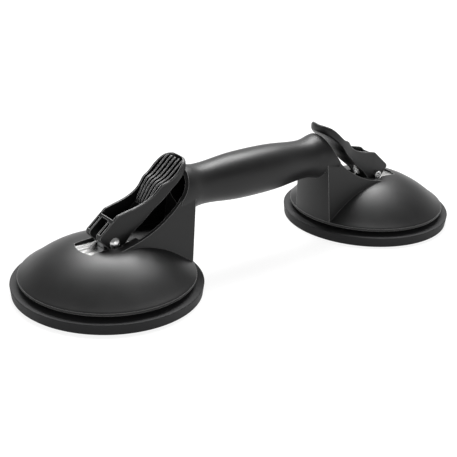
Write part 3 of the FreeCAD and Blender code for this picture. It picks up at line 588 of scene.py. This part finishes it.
def make_rib(share, widths):
    """One finger rib, at a share of the half width, kept inside the lever's rounded form."""
    top = spline([(x, z - RIB_DROP) for x, z in LEVER_TOP[4:-1]], 50)
    floor = spline([(x, z + RIB_SINK) for x, z in UNDERSIDE[1:7]], 30)
    rib = prism("rib", [*top, *floor, *RIB_END], -20, 20, "xz")
    line = spline([(x, share * (half - RIB_INSET)) for x, half in RIB_SPREAD], 24)
    strip = [(x, y - RIB_HALF) for x, y in line] + [(x, y + RIB_HALF) for x, y in line[::-1]]
    merge(rib, prism("strip", strip, PAST_BOTTOM, PAST_TOP), "INTERSECT")
    merge(rib, prism("limit", plan_outline(RIB_INSET), PAST_BOTTOM, PAST_TOP), "INTERSECT")
    merge(rib, rounded_bar("rib_limit", lever_outline(), widths, grow=0.3, drop=RIB_DROP), "INTERSECT")
    return rib


def make_lever(word, side):
    widths = plan_outline(0)[:PLAN_COUNT // 2 + 1] + [(PAST_HEEL, HEEL_HALF)]
    lever = rounded_bar("cam_lever_%s_dressed" % word, lever_outline(), widths)
    merge(lever, make_trough(), "DIFFERENCE")
    slot = [(SLOT_BACK, SLOT_BOTTOM), (SLOT_BACK, 0), face_frame(SLOT_KNEE, -1), face_frame(SLOT_KNEE, PAST_HEEL),
            (31, 11), (31, SLOT_BOTTOM)]
    merge(lever, prism("slot", slot, -SLOT_HALF, SLOT_HALF, "xz"), "DIFFERENCE")
    cell = [face_frame(CELL_HIGH, CELL_FLOOR), face_frame(CELL_HIGH, PAST_HEEL),
            face_frame(CELL_LOW, PAST_HEEL), face_frame(CELL_LOW, CELL_FLOOR)]
    for low in CELL_SIDES:
        merge(lever, prism("cell", cell, low, low + CELL_WIDTH, "xz"), "DIFFERENCE")
    shares = [2 * (index + 1) / (RIB_COUNT + 1) - 1 for index in range(RIB_COUNT)]
    join(lever, [make_rib(share, widths) for share in shares])
    settle(lever, side, PIN_LEVEL)
    finish_piece(lever, "lever_" + word, lever_plastic, "cam_lever_" + word, 30)


make_moulding()
for word, sign in SIDES:
    make_pad(word, sign)
    make_lever(word, sign)
    make_spring(word, sign)
    for node, material in (("wear_plate_", plate_steel), ("pivot_pin_", pin_steel), ("pull_stud_", zinc_steel),
                           ("stud_disc_", zinc_steel), ("spring_seat_", zinc_steel)):
        paint(NODES[node + word], material)

# ------------------------------------------------------------------ floor, light and camera (metres)
FLOOR_REACH, FLOOR_GREY, FLOOR_GLOW = 4, 0.2, 0.86
SKY_LOW, SKY_HIGH, SKY_OVERHEAD = 0.12, 0.4, 0.25
LIGHT_TARGET = (0, 0, 0.03)
CAMERA_PLACE, CAMERA_TARGET = (-0.4160, -0.5036, 0.2997), (-0.0169, 0.0, 0.0184)
CAMERA_ROLL, LENS, SENSOR = 2.28, 82.92, 36.0


def seen_directly(tree):
    """1 for camera, glossy and transmitted rays, 0 for the rays that light other things."""
    path = tree.nodes.new("ShaderNodeLightPath")
    value = path.outputs["Is Camera Ray"]
    for kind in ("Is Glossy Ray", "Is Transmission Ray"):
        larger = tree.nodes.new("ShaderNodeMath")
        larger.operation = "MAXIMUM"
        tree.links.new(value, larger.inputs[0])
        tree.links.new(path.outputs[kind], larger.inputs[1])
        value = larger.outputs[0]
    return value


def make_floor():
    """A matt floor that takes the shadow, with a glow that makes it white where it is seen."""
    r = FLOOR_REACH
    floor = make_mesh("floor", [(-r, -r, 0), (r, -r, 0), (r, r, 0), (-r, r, 0)], [(0, 1, 2, 3)])
    material = bpy.data.materials.new("floor_pale")
    material.use_nodes = True
    tree = material.node_tree
    surface = tree.nodes["Principled BSDF"]
    surface.inputs["Base Color"].default_value = (FLOOR_GREY, FLOOR_GREY, FLOOR_GREY, 1)
    surface.inputs["Roughness"].default_value = 0.9
    surface.inputs["Specular IOR Level"].default_value = 0.0
    glow = tree.nodes.new("ShaderNodeEmission")
    glow.inputs["Strength"].default_value = FLOOR_GLOW
    add = tree.nodes.new("ShaderNodeAddShader")
    mix = tree.nodes.new("ShaderNodeMixShader")
    tree.links.new(surface.outputs["BSDF"], add.inputs[0])
    tree.links.new(glow.outputs["Emission"], add.inputs[1])
    tree.links.new(seen_directly(tree), mix.inputs["Fac"])
    tree.links.new(surface.outputs["BSDF"], mix.inputs[1])
    tree.links.new(add.outputs["Shader"], mix.inputs[2])
    tree.links.new(mix.outputs["Shader"], tree.nodes["Material Output"].inputs["Surface"])
    floor.data.materials.append(material)


def make_world():
    """White at the horizon, falling to a plain grey overhead."""
    world = bpy.data.worlds.new("studio")
    bpy.context.scene.world = world
    world.use_nodes = True
    tree = world.node_tree
    place = tree.nodes.new("ShaderNodeTexCoord")
    split = tree.nodes.new("ShaderNodeSeparateXYZ")
    fall = tree.nodes.new("ShaderNodeMapRange")
    fall.inputs["From Min"].default_value = SKY_LOW
    fall.inputs["From Max"].default_value = SKY_HIGH
    fall.inputs["To Min"].default_value = 1.0
    fall.inputs["To Max"].default_value = SKY_OVERHEAD
    tree.links.new(place.outputs["Generated"], split.inputs["Vector"])
    tree.links.new(split.outputs["Z"], fall.inputs["Value"])
    tree.links.new(fall.outputs["Result"], tree.nodes["Background"].inputs["Strength"])
    tree.nodes["Background"].inputs["Color"].default_value = (1, 1, 1, 1)


def area_light(name, place, size, power):
    lamp = bpy.data.lights.new(name, "AREA")
    lamp.shape = "RECTANGLE"
    lamp.size, lamp.size_y = size
    lamp.energy = power
    item = bpy.data.objects.new(name, lamp)
    item.location = place
    item.rotation_euler = (Vector(LIGHT_TARGET) - Vector(place)).to_track_quat("-Z", "Y").to_euler()
    bpy.context.scene.collection.objects.link(item)


def make_camera():
    """The photograph's camera, fitted to the pads' outlines."""
    place, target = Vector(CAMERA_PLACE), Vector(CAMERA_TARGET)
    forward = (target - place).normalized()
    right = forward.cross(Vector((0, 0, 1))).normalized()
    up = right.cross(forward)
    roll = math.radians(CAMERA_ROLL)
    across = right * math.cos(roll) + up * math.sin(roll)
    upright = up * math.cos(roll) - right * math.sin(roll)
    turn = Matrix((across, upright, -forward)).transposed()
    data = bpy.data.cameras.new("camera")
    data.lens = LENS
    data.sensor_width = SENSOR
    data.clip_start = 0.01
    camera = bpy.data.objects.new("camera", data)
    camera.matrix_world = Matrix.Translation(place) @ turn.to_4x4()
    bpy.context.scene.collection.objects.link(camera)
    bpy.context.scene.camera = camera


make_floor()
make_world()
area_light("key", (0.38, 0.56, 1.15), (1.1, 0.6), 35)
area_light("low", (-0.1, -1.1, 0.35), (0.8, 0.4), 1.5)
make_camera()
bpy.context.scene.view_settings.view_transform = "Standard"
